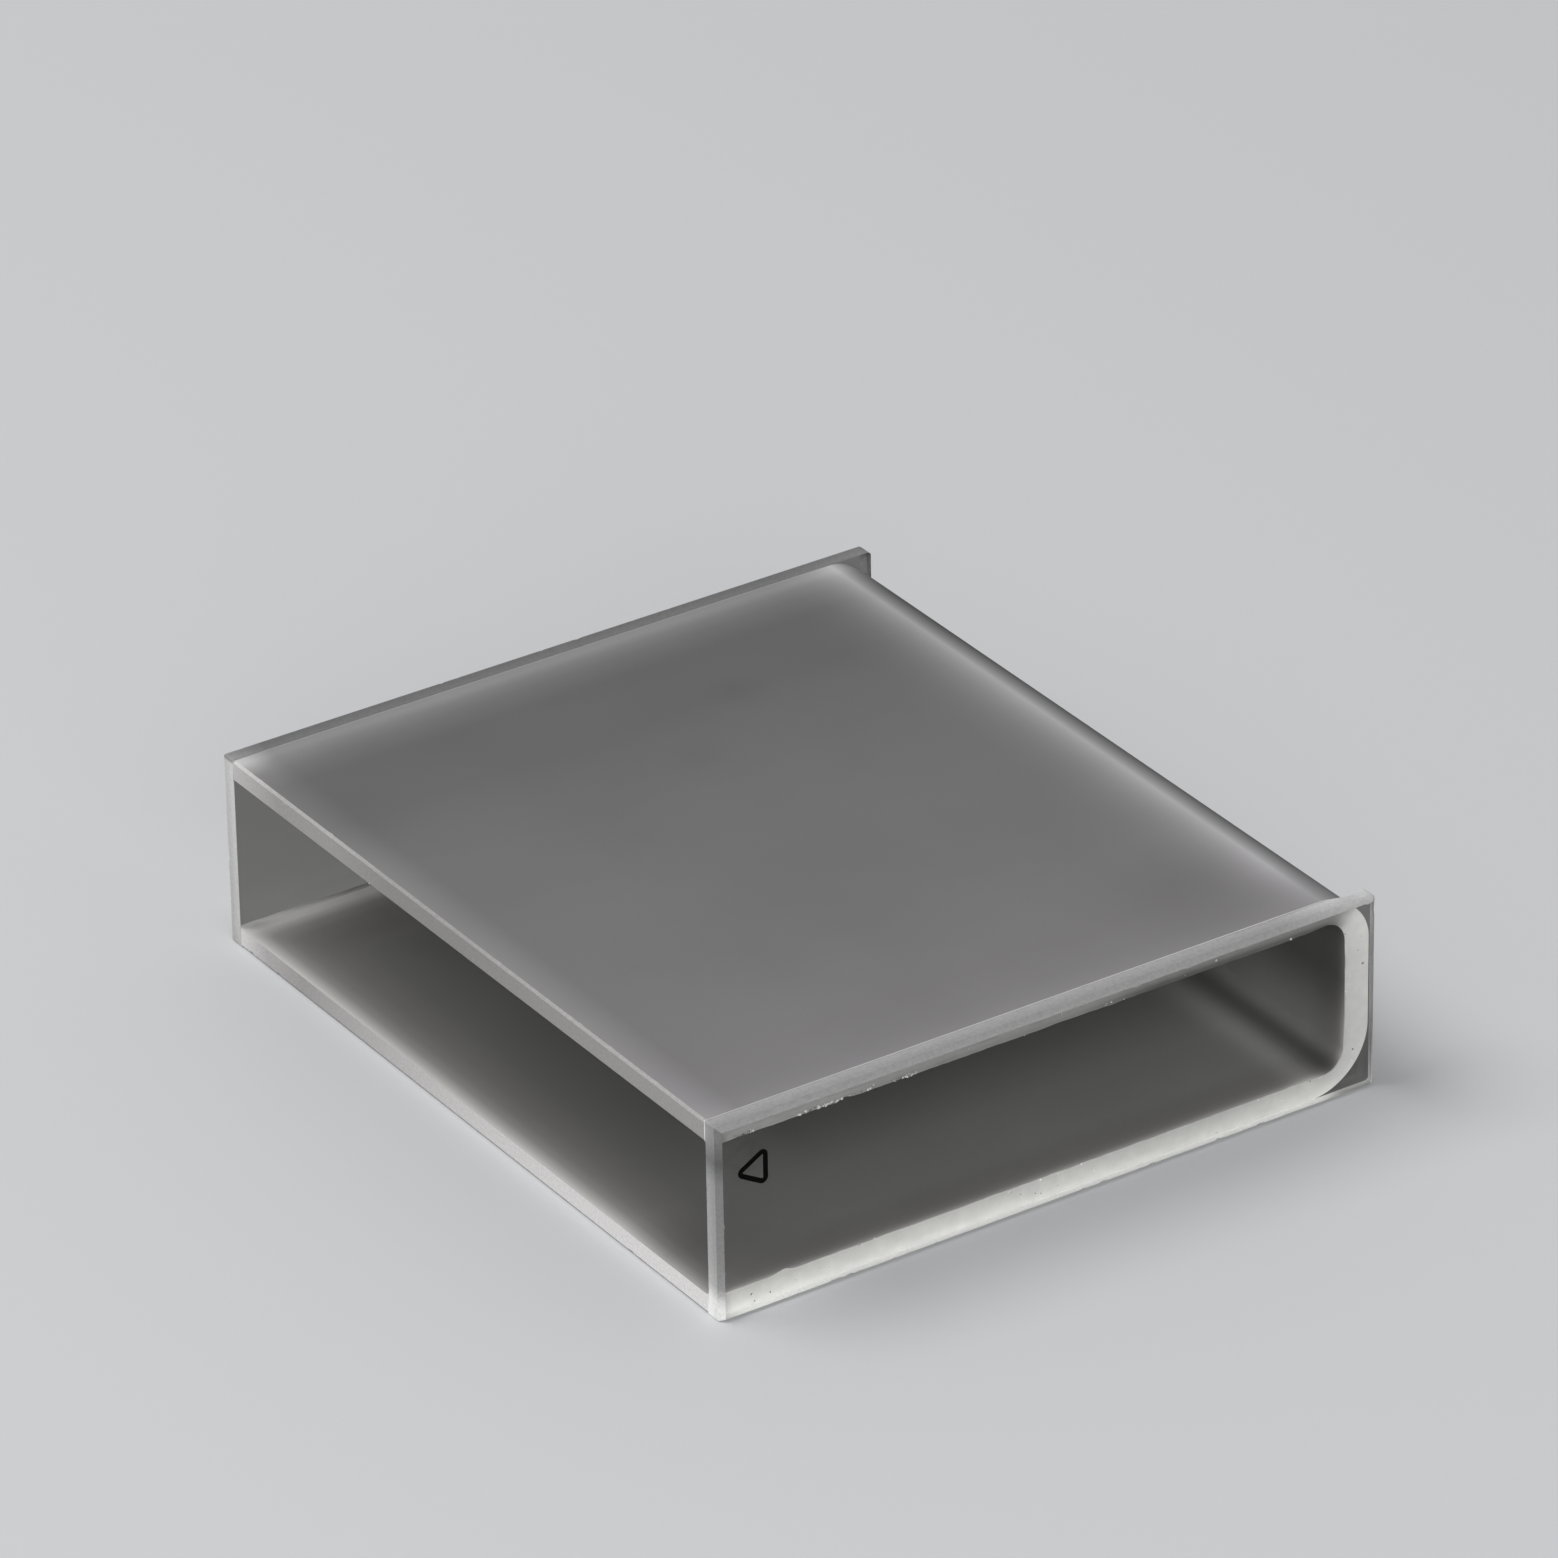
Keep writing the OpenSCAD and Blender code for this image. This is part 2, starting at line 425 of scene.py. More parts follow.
def ground_edge(tree, place, colour, passing):
    """Sawn and ground edges of fused quartz. Light that falls on them goes through. The colour given
    paints the light gathered by the clear glass coming out of them, so they are much whiter than the broad
    faces. passing is the share that goes through."""
    # 0.03 mm saw marks are drawn 0.18 mm apart to show
    marks = add_node(tree, "ShaderNodeTexNoise", {"Vector": place},
                     {"Scale": 1 / (0.18 * MM), "Detail": 2.0, "Roughness": 0.6}).outputs["Fac"]
    colour = graded(tree, colour, [(0.88, 1.06, (marks, *NOISE_SPAN))])
    bump = add_node(tree, "ShaderNodeBump", {"Height": marks},
                    {"Strength": 0.4, "Distance": 0.02 * MM}).outputs[0]
    matte = add_node(tree, "ShaderNodeBsdfPrincipled", {"Base Color": colour, "Normal": bump},
                     {"Roughness": 0.5, "IOR": FUSED_IOR}).outputs[0]
    through = add_node(tree, "ShaderNodeBsdfTranslucent", {0: colour}).outputs[0]
    return add_node(tree, "ShaderNodeMixShader", {1: matte, 2: through}, {0: passing}).outputs[0]


def blended(tree, at_none, at_all, ramp):
    """A colour that goes from at_none to at_all with the share that the ramp gives."""
    return add_node(tree, "ShaderNodeMix", {0: share_of(tree, [ramp]), 6: at_none, 7: at_all},
                    data_type="RGBA").outputs[2]


def ground_quartz_mouth():
    """The ground edge of the channel. The stops give the colour across the mouth, from the
    front seam to the rear one, of the lower side and of the upper one. They are painted light:
    near white on the lower side, grey on the upper one, and changing across the mouth."""
    material, tree, surface, place = new_material("ground_quartz_mouth")
    where = add_node(tree, "ShaderNodeSeparateXYZ", {0: place}).outputs
    lower = colours_along(tree, where["Y"], [
        (-24.9 * MM, "#ECEAE9"), (-10 * MM, "#E4E2E1"), (0, "#D6D4D3"), (10 * MM, "#BEBCBB"),
        (18 * MM, "#A8A6A5"), (22 * MM, "#B8B6B5"), (24.9 * MM, "#E2E0DF")])
    upper = colours_along(tree, where["Y"], [
        (-24.9 * MM, "#A4A2A1"), (-8 * MM, "#9C9A99"), (0, "#959392"), (8 * MM, "#959392"),
        (14 * MM, "#A4A2A1"), (20 * MM, "#A4A2A1"), (24.9 * MM, "#C8C6C5")])
    colour = blended(tree, lower, upper, (where["Z"], 2 * MM, 10 * MM))
    tree.links.new(ground_edge(tree, place, colour, passing=0.05), surface)
    return material


chipped_edges = chipped_edges_tree()
channel = channel_mesh("quartz_channel", [ground_quartz(), drawn_quartz()])
run_tree(channel, chipped_edges, chip_depth=0.1 * MM, chip_length=0.5 * MM, whole_share=0.6, seed=3.0,
         ground_glass=ground_quartz_mouth())
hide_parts("channel")
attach(channel, "root")

# ---------------------------------------------------------------------------------------
# Windows
# Two plates of optical fused quartz, sawn to a rectangle and polished on both faces, with a
# ground bevel round the outer one. Their own edges stay ground, and are chipped here and
# there. Each is fused to one flank of the channel and reaches past its bends.
# ---------------------------------------------------------------------------------------
WINDOW_BEVEL = 0.32 * MM
INNER_ARRIS = 0.04 * MM
BOTTOM_BEVEL_SHARE = 0.5    # along the bottom it was ground less
MOUTH_BEVEL_SHADE = 0.34   # painted shade on the bevels by the mouth
# painted shade on the upper bevels
TOP_BEVEL_SHADE = 0.05
END_CORNER = 0.35 * MM      # radius of the two corners at the closed end
MOUTH_CORNER = 0.08 * MM
CORNER_STEPS = 6
EDGE_STEP = 0.18 * MM
MERGED_WITHIN = 0.001 * MM
# Long shallow chips in the front window's upper inner edge: place x, reach and depth
FRONT_CHIPS = ((21.3 * MM, 0.8 * MM, 0.22 * MM), (15.2 * MM, 1.6 * MM, 0.08 * MM))
MARK_THICKNESS = 0.02 * MM  # room in front of the front window for its printed mark
POLISHED_THROUGH = 0.96     # share of the lamps' light that passes each polished face
# Colours of the ground edges by height, at the mouth and at the closed end: painted light, white low down
# and grey higher up, with painted shade near the top
FRONT_EDGE_COLOURS = dict(
    mouth_stops=[
        (0, "#FCFCFA"), (1.2 * MM, "#F8F8F6"), (2.2 * MM, "#C0C0BF"), (4 * MM, "#B0B0AF"),
        (8.8 * MM, "#A8A8A8"), (10.2 * MM, "#7C7C7C"), (11.3 * MM, "#989898"), (12.0 * MM, "#A2A2A2"),
        (12.5 * MM, "#9A9A9A")],
    end_stops=[
        (0, "#FAFAF8"), (1.2 * MM, "#E0E0DE"), (4 * MM, "#A8A8A7"), (12.0 * MM, "#A8A8A7"),
        (12.5 * MM, "#C8C8C8")],
    corner_glow=1)
REAR_EDGE_COLOURS = dict(
    mouth_stops=[
        (0, "#8E8E8C"), (1.2 * MM, "#969694"), (3 * MM, "#969695"), (12.2 * MM, "#A0A09F"),
        (12.4 * MM, "#6C6C6C")],
    end_stops=[
        (0, "#FAFAF8"), (1.2 * MM, "#E0E0DE"), (4 * MM, "#A8A8A7"), (12.0 * MM, "#909090"),
        (12.5 * MM, "#787878")],
    corner_glow=1.9)


def rounded_plate(low, high, radii, step):
    """Points round a plate seen along Y, each with its outward direction: (x, z, nx, nz).
    radii has one radius for each corner, and straight sides are cut up in steps."""
    arcs = []
    for k, radius in enumerate(radii):
        centre_x = high.x - radius if k in (1, 2) else low.x + radius
        centre_z = high.z - radius if k in (2, 3) else low.z + radius
        for i in range(CORNER_STEPS + 1):
            angle = math.pi * (1 + k / 2 + i / (2 * CORNER_STEPS))
            nx, nz = math.cos(angle), math.sin(angle)
            arcs.append((centre_x + radius * nx, centre_z + radius * nz, nx, nz))
    points = []
    for start, end in zip(arcs, arcs[1:] + arcs[:1]):
        count = max(1, round(math.dist(start[:2], end[:2]) / step))
        for i in range(count):
            points.append(tuple(a + (b - a) * i / count for a, b in zip(start, end)))
    return points


def window_mesh(node, name, side, room, chips, material):
    """A plate with ground bevels. side is -1 for the window at low Y and 1 for the one at
    high Y. room is how far the outer face stays back. chips are long shallow ones along the
    upper inner edge, each with its place x, its reach and its depth."""
    low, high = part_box(node)
    inner_y = high.y if side < 0 else low.y
    outer_y = low.y + room if side < 0 else high.y - room
    outline = rounded_plate(low, high, [MOUTH_CORNER, END_CORNER, END_CORNER, MOUTH_CORNER], EDGE_STEP)
    # each ring of points is (inset, y, wear inwards in the face, wear towards the channel)
    rings = [
        (INNER_ARRIS, inner_y, 0, 0),
        (0, inner_y + side * INNER_ARRIS, 0.6, 0),
        (0, outer_y - side * WINDOW_BEVEL, 0, 1),
        (WINDOW_BEVEL / 2, outer_y - side * WINDOW_BEVEL / 2, 0.6, 0.6),
        (WINDOW_BEVEL, outer_y, 1, 0),
    ]
    bm = bmesh.new()
    wear = bm.verts.layers.float_vector.new("wear")
    ground = bm.faces.layers.float.new("ground_edge")
    bevel = bm.faces.layers.float.new("bevel")
    loops = []
    for ring, (inset, y, wear_in, wear_back) in enumerate(rings):
        loop = []
        for x, z, nx, nz in outline:
            inside_x = min(max(x, low.x + inset), high.x - inset)
            inside_z = min(max(z, low.z + inset * BOTTOM_BEVEL_SHARE), high.z - inset)
            on_upper_inner_edge = ring < 2 and nz > 0.5
            if on_upper_inner_edge:
                inside_z -= sum(depth * bump_at(x - at, reach) for at, reach, depth in chips)
            vert = bm.verts.new((inside_x, y, inside_z))
            vert[wear] = (-nx * wear_in, -side * wear_back, -nz * wear_in)
            loop.append(vert)
        loops.append(loop)
    for k, (a, b) in enumerate(zip(loops, loops[1:])):
        for i in range(len(a)):
            j = (i + 1) % len(a)
            face = bm.faces.new((a[i], a[j], b[j], b[i]))
            face[ground] = 1
            on_bevel = k >= 2
            if on_bevel:
                nx, nz = outline[i][2:]
                # bevel holds how much painted shade darkens each bevel face
                face[bevel] = max(-nx * MOUTH_BEVEL_SHADE, nz * TOP_BEVEL_SHADE, 0)
    bm.faces.new(loops[0])
    bm.faces.new(loops[-1])
    bmesh.ops.remove_doubles(bm, verts=bm.verts, dist=MERGED_WITHIN)
    return finish_mesh(bm, name, [material])


def polished_quartz():
    """Optically polished fused quartz: clear, colourless and mirror smooth. Lamps shine
    through it unbent, with a small loss at each face."""
    material, tree, surface, _ = new_material("polished_quartz")
    glass = add_node(tree, "ShaderNodeBsdfPrincipled",
                     inputs={"Base Color": linear("#FEFEFD"), "Roughness": 0.0, "IOR": FUSED_IOR,
                             "Transmission Weight": 1.0}).outputs[0]
    tree.links.new(lit_through(tree, glass, POLISHED_THROUGH), surface)
    return material


def window_edge_quartz(name, mouth_stops, end_stops, corner_glow):
    """The ground edges of a window, with painted light: white low down, where most light comes out, and
    grey farther up. The stops give the colour by height at the mouth and at the closed end, and the last
    ones that of the upper edge. corner_glow is how much brighter a painted glow makes the edges at the
    mouth, and the attribute bevel how much painted shade darkens a face."""
    material, tree, surface, place = new_material(name)
    where = add_node(tree, "ShaderNodeSeparateXYZ", {0: place}).outputs
    at_mouth = colours_along(tree, where["Z"], mouth_stops)
    at_end = colours_along(tree, where["Z"], end_stops)
    colour = blended(tree, at_mouth, at_end, (where["X"], 16 * MM, 21.5 * MM))
    bevel = add_node(tree, "ShaderNodeAttribute", attribute_name="bevel").outputs["Fac"]
    across = add_node(tree, "ShaderNodeMath", {0: where["Y"]}, operation="ABSOLUTE").outputs[0]
    outer_y = cad_high.y
    # painted light and shade: low down, the flat edges at the closed end are painted dimmer than the
    # bevel, and at the mouth the bevel is as white as the rest; higher up the bevels carry painted shade,
    # a band of the faces is painted lighter, and corner_glow paints the edges brighter towards the mouth
    colour = graded(tree, colour, [
        (1, 0.5, (across, outer_y - 0.3 * MM, outer_y - 0.4 * MM), (where["Z"], 5 * MM, 3 * MM),
         (where["X"], 19 * MM, 20.5 * MM)),
        (1, 0, (bevel, 0, 1), (where["Z"], 0.8 * MM, 2 * MM)),
        (1, 1.15, (across, outer_y - 0.55 * MM, outer_y - 1.05 * MM)),
        (1, corner_glow, (where["X"], channel_low.x + 2.5 * MM, channel_low.x))])
    tree.links.new(ground_edge(tree, place, colour, passing=0.15), surface)
    return material


polished = polished_quartz()
for node, name, side, room, chips, colours, seed in (
        ("front_window", "polished_front_window", -1, MARK_THICKNESS, FRONT_CHIPS,
         FRONT_EDGE_COLOURS, 11.0),
        ("rear_window", "polished_rear_window", 1, 0, (), REAR_EDGE_COLOURS, 17.0)):
    window = window_mesh(node, name, side, room, chips, polished)
    run_tree(window, chipped_edges, chip_depth=0.1 * MM, chip_length=0.6 * MM, whole_share=0.6,
             seed=seed, ground_glass=window_edge_quartz(name + "_edge", **colours))
    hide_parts(node)
    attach(window, "root")

# ---------------------------------------------------------------------------------------
# Orientation mark
# A small open triangle, screen-printed in black enamel on the front window by the mouth and
# then fired, so that the cell always goes into its holder the same way round.
# ---------------------------------------------------------------------------------------
MARK_FROM_MOUTH = 2.5 * MM
MARK_FROM_BOTTOM = 9.2 * MM
MARK_REACH = 0.82 * MM      # from the middle to the centres of its rounded corners
STROKE_OUTSIDE = 0.37 * MM  # radii of a corner, a stroke apart
STROKE_INSIDE = 0.06 * MM
ARC_STEPS = 8
MARK_SUNK = 0.004 * MM      # how far its back lies in the glass


def triangle_outline(middle_x, middle_z, radius):
    """Points round a triangle with rounded corners, one of them towards the mouth."""
    points = []
    for k in range(3):
        turn = math.pi + k * math.tau / 3
        x, z = middle_x + MARK_REACH * math.cos(turn), middle_z + MARK_REACH * math.sin(turn)
        for i in range(ARC_STEPS + 1):
            angle = turn + math.radians(120) * (i / ARC_STEPS - 0.5)
            points.append((x + radius * math.cos(angle), z + radius * math.sin(angle)))
    return points


def mark_mesh(name, material):
    """The stroke between the two outlines, as thick as the room in front of the window."""
    low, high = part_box("front_window")
    bm = bmesh.new()
    rows = []
    for radius in (STROKE_OUTSIDE, STROKE_INSIDE):
        outline = triangle_outline(low.x + MARK_FROM_MOUTH, low.z + MARK_FROM_BOTTOM, radius)
        for y in (low.y, low.y + MARK_THICKNESS + MARK_SUNK):
            rows.append([bm.verts.new((x, y, z)) for x, z in outline])
    outer_front, outer_back, inner_front, inner_back = rows
    for a, b in ((outer_front, outer_back), (outer_back, inner_back), (inner_back, inner_front),
                 (inner_front, outer_front)):
        for i in range(len(a)):
            j = (i + 1) % len(a)
            bm.faces.new((a[i], a[j], b[j], b[i]))
    return finish_mesh(bm, name, [material])


def fired_enamel():
    """Black glass enamel, screen-printed and fired: dense, dull, a little uneven."""
    material, tree, surface, place = new_material("fired_black_enamel")
    uneven = add_node(tree, "ShaderNodeTexNoise", {"Vector": place},
                      {"Scale": 1 / (0.2 * MM)}).outputs["Fac"]
    colour = colours_along(tree, uneven, [(0.35, "#040404"), (0.65, "#0C0C0D")])
    shader = add_node(tree, "ShaderNodeBsdfPrincipled", {"Base Color": colour},
                      {"Roughness": 0.6, "Specular IOR Level": 0.05})
    tree.links.new(shader.outputs[0], surface)
    return material


mark = mark_mesh("orientation_mark", fired_enamel())
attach(mark, "root")

# ---------------------------------------------------------------------------------------
# Seams
# Milky sealing glass between each window and the channel's ground flank. It was melted in
# and squeezed out a little into the cavity, where it froze in an uneven bead. Small gas
# bubbles stay trapped where it wets the window.
# ---------------------------------------------------------------------------------------
FUSED_DEPTH = 0.01 * MM     # how far sealed faces sink into each other, as fused glass does
SEAM_GROOVE = 0.015 * MM    # the seam lies this far below the outside of the walls
SEAM_SKIN = 0.05 * MM       # width of the dull strip along the outside of the upper side
SKIN_DEPTH = 0.7 * MM       # it ends this far down the upper bend
BUBBLES_FROM = 0.12 * MM    # no bubble lies nearer to the outside than this
LAND_BUBBLES = 0.3          # how thickly they lie on the land, as a share of those by the bead
FROTH_BUBBLES = 60          # how much more thickly they lie in froth
BEAD_CORNERS = 5
SEAM_STEPS = (200, 24, 30)
# Froth in the upper bead of the front seam: place x and reach in millimetres
FROTH = ((-20.2, 0.7), (-15.0, 1.6), (-9.5, 0.8))
# Swellings of the bead: place (x, z) and reach in millimetres, and size in beads, below 0 for a gap
REAR_SWELLINGS = ((-11.0, 1.3, 0.4, 0.3),)
FRONT_SWELLINGS = REAR_SWELLINGS + (
    (20.8, 6.2, 2.8, -0.9), (-17.8, 1.3, 0.5, 1.2), (20.8, 8.3, 0.3, -1.0), (-13.6, 11.2, 0.3, -1.0),
    (4.5, 11.2, 0.5, 0.3), (19.4, 11.0, 1.6, -0.7))
# Colours along the U, by the outside of the wall and by the cavity: painted light, brightest low down and
# round the closed end, and painted shade along the upper side and on the rear seam
FRONT_SEAM_COLOURS = dict(
    wall_stops=[
        (0, "#F6F6F4"), (0.03, "#E2E2E0"), (0.18, "#E4E4E2"), (0.36, "#D8D8D6"), (0.5, "#E6E6E4"),
        (0.56, "#FCFCFA"), (1.0, "#F2F2F0")],
    cavity_stops=[
        (0, "#DCDCDA"), (0.03, "#C8C8C6"), (0.12, "#D2D2D0"), (0.36, "#C2C2C0"), (0.46, "#D2D2D0"),
        (0.5, "#D8D8D6"), (0.548, "#E4E4E2"), (0.558, "#A8A8A7"), (0.567, "#787877"),
        (0.58, "#6E6E6D"), (0.7, "#666665"), (0.75, "#949493"), (0.85, "#9C9C9B"), (1.0, "#B0B0AF")])
REAR_SEAM_COLOURS = dict(
    wall_stops=[(0, "#C8C8C6"), (0.5, "#C8C8C6"), (1.0, "#D0D0CE")],
    cavity_stops=[
        (0, "#B8B8B6"), (0.02, "#B0B0AE"), (0.036, "#9A9A98"), (0.056, "#8B8B89"), (0.076, "#6E6E6C"),
        (0.5, "#888886"), (1.0, "#909090")])


def seam_mesh(node, name, side, swellings, materials):
    """A land between window and flank, and the bead on its cavity side. The mesh has the
    bead at no width. spread is where a point goes for each unit of width, swell how much
    wider the bead is at a point, and tone the share of the way along the U. bead is 1 on
    the cavity side, outside marks the dull strip, and bubbly is how thickly bubbles lie."""
    low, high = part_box(node)
    window_y = (low.y if side < 0 else high.y) + side * FUSED_DEPTH
    flank_y = high.y if side < 0 else low.y
    thickness = high.y - low.y
    mouth = channel_low.x + SEAM_GROOVE
    bends = [radius - SEAM_GROOVE for radius in BENDS_OUTSIDE]
    outer = u_outline(mouth, channel_high.x - SEAM_GROOVE, channel_low.z + SEAM_GROOVE,
                      channel_high.z - SEAM_GROOVE, bends, SEAM_STEPS)
    inner = u_outline(mouth, channel_high.x - END_WALL, channel_low.z + SIDE_WALL,
                      channel_high.z - SIDE_WALL, BENDS_INSIDE, SEAM_STEPS)
    bm = bmesh.new()
    spread = bm.verts.layers.float_vector.new("spread")
    swell = bm.verts.layers.float.new("swell")
    tone = bm.verts.layers.float.new("tone")
    bead = bm.verts.layers.float.new("bead")
    outside = bm.faces.layers.float.new("outside")
    bubbly = bm.faces.layers.float.new("bubbly")
    last = len(outer) - 1
    sunk_y = flank_y - side * FUSED_DEPTH
    rows = []
    for i in range(last + 1):
        before, after = inner[max(i - 1, 0)], inner[min(i + 1, last)]
        length = math.dist(before, after)
        in_x, in_z = (before[1] - after[1]) / length, (after[0] - before[0]) / length
        x, z = inner[i]
        more = sum(size * bump_at(math.dist((x, z), (sx * MM, sz * MM)), reach * MM)
                   for sx, sz, reach, size in swellings)
        # round a section: the outside, the flank, the bead, and back along the window
        row = [bm.verts.new((outer[i][0], y, outer[i][1])) for y in (window_y, sunk_y)]
        row.append(bm.verts.new((x - in_x * FUSED_DEPTH, sunk_y, z - in_z * FUSED_DEPTH)))
        for k in range(BEAD_CORNERS + 1):
            angle = math.pi / 2 * k / BEAD_CORNERS
            sunk = FUSED_DEPTH if k == 0 else 0
            near, far = 1 - math.sin(angle), 1 - math.cos(angle)
            y = window_y if k == BEAD_CORNERS else window_y - side * (thickness * near + FUSED_DEPTH)
            vert = bm.verts.new((x - in_x * sunk, y, z - in_z * sunk))
            vert[spread] = (in_x * far, -side * near, in_z * far)
            vert[bead] = 1
            row.append(vert)
        row.append(bm.verts.new((x - in_x * FUSED_DEPTH, window_y, z - in_z * FUSED_DEPTH)))
        row[-1][bead] = 1
        for depth in (BUBBLES_FROM, SEAM_SKIN):
            row.append(bm.verts.new((outer[i][0] + in_x * depth, window_y, outer[i][1] + in_z * depth)))
        for vert in row:
            vert[swell] = more
            vert[tone] = i / last
        rows.append(row)
    count = len(rows[0])
    # faces round a section: the dull strip, the land on the window, and the bead's lip on it
    strip = (count - 1, 0)
    land = count - 3
    lip = (count - 5, count - 4)
    for a, b in zip(rows, rows[1:]):
        froth = 0
        if side < 0 and a[0].co.z >= cad_high.z / 2:
            froth = sum(bump_at(a[0].co.x - at * MM, reach * MM) for at, reach in FROTH)
        on_top = a[0].co.z > channel_high.z - SKIN_DEPTH
        for k in range(count):
            face = bm.faces.new((a[k], a[(k + 1) % count], b[(k + 1) % count], b[k]))
            face[outside] = 1 if on_top and k in strip else 0
            if k == land:
                face[bubbly] = LAND_BUBBLES
            elif k in lip:
                face[bubbly] = 1 + FROTH_BUBBLES * froth
    bm.faces.new(rows[0])
    bm.faces.new(rows[-1])
    return finish_mesh(bm, name, materials)


def squeezed_seam_tree():
    """Gives the bead its uneven width, and scatters trapped bubbles where the glass wets the
    window."""
    tree, given, result = new_shape_tree(
        "squeezed_seam", ("Bead Width", "Float"), ("Unevenness", "Float"), ("Wave Length", "Float"),
        ("Bubble Spacing", "Float"), ("Largest Bubble", "Float"), ("Seed", "Int"),
        ("Seam Glass", "Material"), ("Bubble Glass", "Material"))
    position = add_node(tree, "GeometryNodeInputPosition").outputs[0]
    spread = add_node(tree, "GeometryNodeInputNamedAttribute", inputs={0: "spread"},
                      data_type="FLOAT_VECTOR").outputs[0]
    swell, bubbly, bubble = (
        add_node(tree, "GeometryNodeInputNamedAttribute", inputs={0: name}, data_type="FLOAT").outputs[0]
        for name in ("swell", "bubbly", "bubble"))
    per_metre = add_node(tree, "ShaderNodeMath", {1: given["Wave Length"]}, {0: 1.0},
                         operation="DIVIDE").outputs[0]
    waves = add_node(tree, "ShaderNodeTexNoise",
                     {"Vector": position, "W": given["Seed"], "Scale": per_metre},
                     {"Detail": 2.0}, noise_dimensions="4D").outputs[0]
    waves = add_node(tree, "ShaderNodeMapRange", {0: waves},
                     {1: NOISE_SPAN[0], 2: NOISE_SPAN[1], 3: -1.0, 4: 1.0}).outputs[0]
    uneven = add_node(tree, "ShaderNodeMath", {0: waves, 1: given["Unevenness"], 2: swell},
                      operation="MULTIPLY_ADD").outputs[0]
    share = add_node(tree, "ShaderNodeMath", {0: uneven}, {1: 1.0}, operation="ADD").outputs[0]
    # even in a gap a little glass is left
    share = add_node(tree, "ShaderNodeMath", {0: share}, {1: 0.08}, operation="MAXIMUM").outputs[0]
    width = add_node(tree, "ShaderNodeMath", {0: share, 1: given["Bead Width"]},
                     operation="MULTIPLY").outputs[0]
    shift = add_node(tree, "ShaderNodeVectorMath", {0: spread, 3: width}, operation="SCALE").outputs[0]
    beaded = add_node(tree, "GeometryNodeSetPosition",
                      {"Geometry": given["Mesh"], "Offset": shift}).outputs[0]
    area = add_node(tree, "ShaderNodeMath", {0: given["Bubble Spacing"], 1: given["Bubble Spacing"]},
                    operation="MULTIPLY").outputs[0]
    density = add_node(tree, "ShaderNodeMath", {0: bubbly, 1: area}, operation="DIVIDE").outputs[0]
    spots = add_node(tree, "GeometryNodeDistributePointsOnFaces",
                     {"Mesh": beaded, "Density": density, "Seed": given["Seed"]}).outputs[0]
    ball = add_node(tree, "GeometryNodeMeshIcoSphere",
                    inputs={"Radius": 1.0, "Subdivisions": 2}).outputs[0]
    ball = add_node(tree, "GeometryNodeSetShadeSmooth", {0: ball}).outputs[0]
    ball = add_node(tree, "GeometryNodeStoreNamedAttribute", {"Geometry": ball},
                    {"Name": "bubble", "Value": 1.0}, data_type="FLOAT", domain="FACE").outputs[0]
    draw = add_node(tree, "FunctionNodeRandomValue", {"Seed": given["Seed"]}, data_type="FLOAT").outputs[1]
    # squared, so that most of them are small
    small = add_node(tree, "ShaderNodeMath", {0: draw}, {1: 2.0}, operation="POWER").outputs[0]
    small = add_node(tree, "ShaderNodeMapRange", {0: small}, {3: 0.3, 4: 1.0}).outputs[0]
    radius = add_node(tree, "ShaderNodeMath", {0: small, 1: given["Largest Bubble"]},
                      operation="MULTIPLY").outputs[0]
    bubbles = add_node(tree, "GeometryNodeInstanceOnPoints",
                       {"Points": spots, "Instance": ball, "Scale": radius}).outputs[0]
    joined = add_node(tree, "GeometryNodeJoinGeometry", {0: bubbles})
    tree.links.new(beaded, joined.inputs[0])
    real = add_node(tree, "GeometryNodeRealizeInstances", {0: joined.outputs[0]}).outputs[0]
    sealed = add_node(tree, "GeometryNodeSetMaterial",
                      {"Geometry": real, "Material": given["Seam Glass"]}).outputs[0]
    dressed = add_node(tree, "GeometryNodeSetMaterial",
                       {"Geometry": sealed, "Selection": bubble, "Material": given["Bubble Glass"]})
    tree.links.new(dressed.outputs[0], result)
    return tree


def sealing_glass(name, wall_stops, cavity_stops):
    """Low-melting sealing glass: opaque, milky white and glossy where it froze. The stops give
    the colour along the U, from the lower side at the mouth to the upper one, by the outside
    of the wall and by the cavity. They paint the light that it gathers: strongest low down and
    round the closed end, with painted shade along the upper side."""
    material, tree, surface, place = new_material(name)
    along = add_node(tree, "ShaderNodeAttribute", attribute_name="tone").outputs["Fac"]
    bead = add_node(tree, "ShaderNodeAttribute", attribute_name="bead").outputs["Fac"]
    by_wall = colours_along(tree, along, wall_stops)
    by_cavity = colours_along(tree, along, cavity_stops)
    colour = blended(tree, by_wall, by_cavity, (bead, 0, 1))
    streaks = add_node(tree, "ShaderNodeTexNoise", {"Vector": place},
                       {"Scale": 1 / (0.9 * MM), "Detail": 3.0, "Roughness": 0.6}).outputs["Fac"]
    outside = add_node(tree, "ShaderNodeAttribute", attribute_name="outside").outputs["Fac"]
    colour = graded(tree, colour, [(0.93, 1.04, (streaks, *NOISE_SPAN)), (1, 0.3, (outside, 0, 1))])
    shader = add_node(tree, "ShaderNodeBsdfPrincipled", {"Base Color": colour},
                      {"Roughness": 0.35, "IOR": FUSED_IOR})
    tree.links.new(shader.outputs[0], surface)
    return material


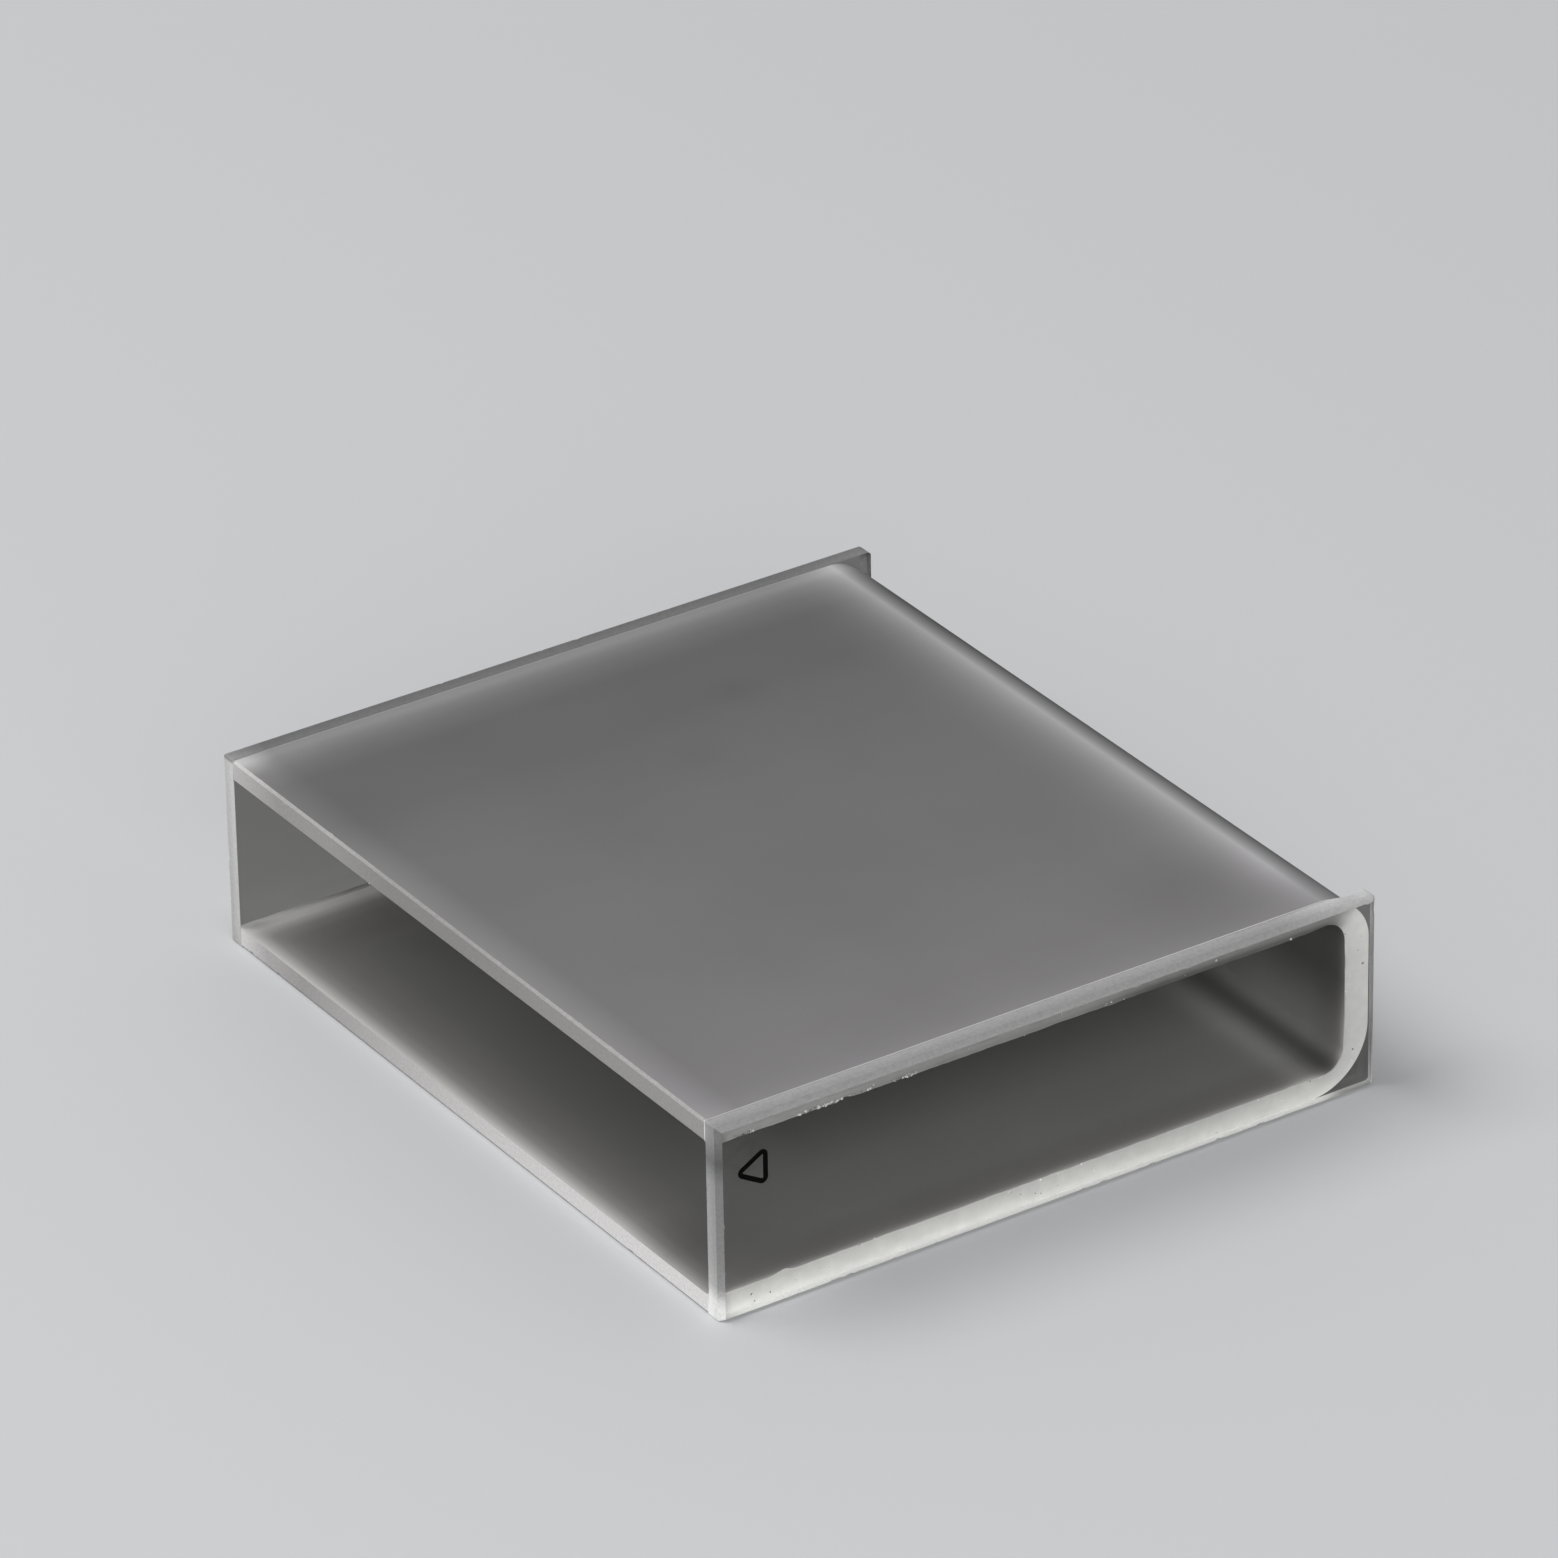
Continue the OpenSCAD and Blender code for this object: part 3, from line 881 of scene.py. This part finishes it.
def bubble_glass():
    """The wall of a gas bubble seen through the window: a speck painted white as a glint, or dull grey."""
    material, tree, surface, place = new_material("bubble_wall")
    # coarser than a bubble, so that each has about one tone
    varied = add_node(tree, "ShaderNodeTexNoise", {"Vector": place},
                      {"Scale": 1 / (0.4 * MM)}).outputs["Fac"]
    colour = colours_along(tree, varied, [
        (0.4, "#5C5C5C"), (0.47, "#8C8C8C"), (0.52, "#E8E8E6"), (0.6, "#FCFCFA")])
    shader = add_node(tree, "ShaderNodeBsdfPrincipled", {"Base Color": colour},
                      {"Roughness": 0.3, "IOR": FUSED_IOR})
    tree.links.new(shader.outputs[0], surface)
    return material


squeezed_seam = squeezed_seam_tree()
bubble_wall = bubble_glass()
for node, name, side, swellings, colours, seed in (
        ("front_seam", "milky_front_seam", -1, FRONT_SWELLINGS, FRONT_SEAM_COLOURS, 5),
        ("rear_seam", "milky_rear_seam", 1, REAR_SWELLINGS, REAR_SEAM_COLOURS, 9)):
    seam_glass = sealing_glass(name + "_glass", **colours)
    seam = seam_mesh(node, name, side, swellings, [seam_glass])
    run_tree(seam, squeezed_seam, bead_width=0.15 * MM, unevenness=0.2, wave_length=0.9 * MM,
             bubble_spacing=0.9 * MM, largest_bubble=0.085 * MM, seed=seed, seam_glass=seam_glass,
             bubble_glass=bubble_wall)
    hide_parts(node)
    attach(seam, "root")

# ---------------------------------------------------------------------------------------
# Floor, light and camera
# A plain pale table under two round softboxes, both on the mouth's side: one high up towards
# the rear, and one lower in front. None of it belongs to the cell.
# ---------------------------------------------------------------------------------------
FLOOR_SIZE = 6.0
FLOOR_GAP = 0.02 * MM       # the table lies this far below the cell
CAMERA_TARGET = Vector((1.55, 3.63, 13.23)) * MM
CAMERA_DISTANCE = 622 * MM
CAMERA_AZIMUTH = -33.25     # degrees, like the next two
CAMERA_ELEVATION = 29.09
CAMERA_ROLL = -1.02
CAMERA_LENS = 248.4         # millimetres

table, tree, surface, _ = new_material("pale_table")
# Darker wherever glass mirrors it or shows it through, as glossy rays are both. Without that
# a pale table lays a veil on the windows
in_glass = add_node(tree, "ShaderNodeLightPath").outputs["Is Glossy Ray"]
tint = add_node(tree, "ShaderNodeMix", {0: in_glass}, {6: linear("#C2C3C5"), 7: linear("#606060")},
                data_type="RGBA").outputs[2]
shader = add_node(tree, "ShaderNodeBsdfPrincipled", {"Base Color": tint}, {"Roughness": 0.6})
tree.links.new(shader.outputs[0], surface)
bm = bmesh.new()
bmesh.ops.create_grid(bm, x_segments=1, y_segments=1, size=FLOOR_SIZE / 2)
bmesh.ops.translate(bm, verts=bm.verts, vec=(0, 0, -FLOOR_GAP))
floor = finish_mesh(bm, "floor", [table])

world = bpy.data.worlds.new("studio")
bpy.context.scene.world = world
world.use_nodes = True
background = world.node_tree.nodes["Background"]
background.inputs["Color"].default_value = linear("#FFFFFF")
background.inputs["Strength"].default_value = 0.4


def softbox(name, position, size, power):
    """A round soft lamp that faces the cell."""
    lamp = bpy.data.lights.new(name, "AREA")
    lamp.shape = "DISK"
    lamp.size = size
    lamp.energy = power
    holder = bpy.data.objects.new(name, lamp)
    bpy.context.scene.collection.objects.link(holder)
    holder.location = position
    holder.rotation_mode = "QUATERNION"
    holder.rotation_quaternion = (-Vector(position)).to_track_quat("-Z", "Y")


softbox("key_softbox", position=(-0.45, 0.3, 0.9), size=0.7, power=7.5)
softbox("front_softbox", position=(-0.35, -0.85, 0.42), size=0.6, power=4.2)

camera = bpy.data.cameras.new("camera")
camera.lens = CAMERA_LENS
camera.sensor_width = 36
camera.clip_start = 0.01
camera.clip_end = 20
eye = bpy.data.objects.new("camera", camera)
bpy.context.scene.collection.objects.link(eye)
azimuth, elevation = math.radians(CAMERA_AZIMUTH), math.radians(CAMERA_ELEVATION)
back = Vector((math.sin(azimuth) * math.cos(elevation), -math.cos(azimuth) * math.cos(elevation),
               math.sin(elevation)))
level = (-back).to_track_quat("-Z", "Y").to_matrix()
eye.location = CAMERA_TARGET + back * CAMERA_DISTANCE
eye.rotation_mode = "QUATERNION"
eye.rotation_quaternion = (level @ Matrix.Rotation(math.radians(CAMERA_ROLL), 3, "Z")).to_quaternion()
bpy.context.scene.camera = eye
bpy.context.scene.view_settings.view_transform = "Standard"
